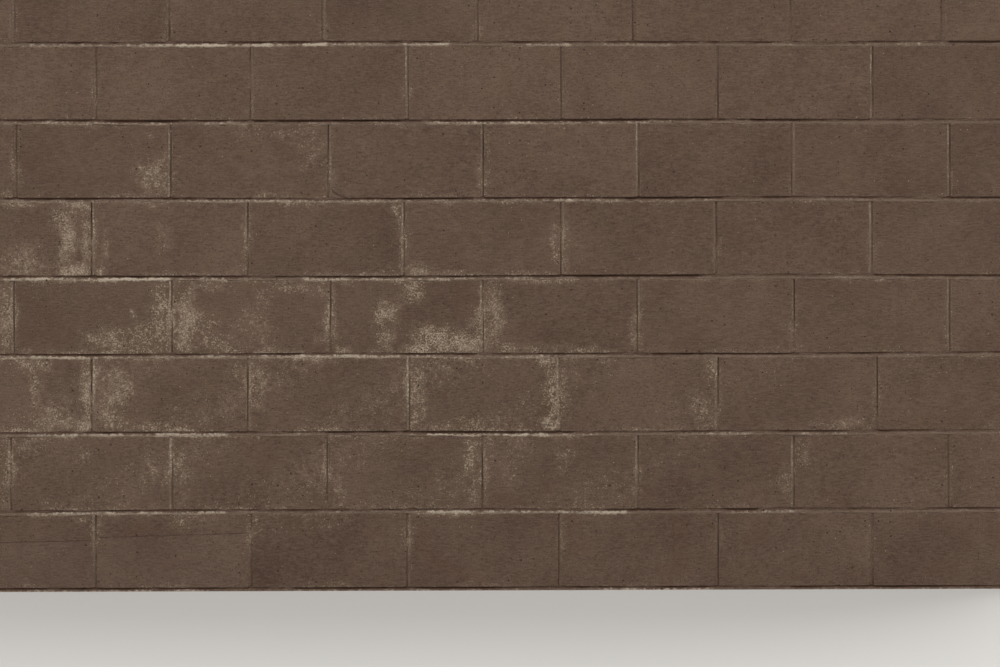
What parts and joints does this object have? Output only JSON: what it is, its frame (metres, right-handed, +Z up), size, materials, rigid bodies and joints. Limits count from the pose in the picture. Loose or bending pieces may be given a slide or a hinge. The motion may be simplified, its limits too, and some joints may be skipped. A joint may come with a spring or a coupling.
{
  "type": "concrete block wall",
  "caption": "Straight free-standing wall panel of painted hollow concrete blocks in running bond, with hollow-struck mortar joints, plumb ends and a flat solid cap course.",
  "frame": {"origin": "middle of the wall's foot, on the underside of the lowest mortar bed", "axes": "+X along the wall to the right as seen from the front, +Y through the wall to the back, +Z up"},
  "size_m": [2.8352, 0.1936, 1.8955],
  "materials": {
    "painted_block": "matt brown masonry paint on concrete, worn pale near the edges",
    "painted_mortar": "matt brown masonry paint on struck mortar",
    "painted_cap": "matt brown masonry paint on concrete"
  },
  "bodies": {
    "root": {"course_1_mortar": "painted_mortar", "course_1_blocks": "painted_block", "course_2_mortar": "painted_mortar", "course_2_blocks": "painted_block", "course_2_half_blocks": "painted_block", "course_3_mortar": "painted_mortar", "course_3_blocks": "painted_block", "course_4_mortar": "painted_mortar", "course_4_blocks": "painted_block", "course_4_half_blocks": "painted_block", "course_5_mortar": "painted_mortar", "course_5_blocks": "painted_block", "course_6_mortar": "painted_mortar", "course_6_blocks": "painted_block", "course_6_half_blocks": "painted_block", "course_7_mortar": "painted_mortar", "course_7_blocks": "painted_block", "course_8_mortar": "painted_mortar", "course_8_blocks": "painted_block", "course_8_half_blocks": "painted_block", "course_9_mortar": "painted_mortar", "course_9_blocks": "painted_block", "cap_mortar": "painted_mortar", "cap_blocks": "painted_cap", "half_cap_blocks": "painted_cap"}
  },
  "joints": []
}
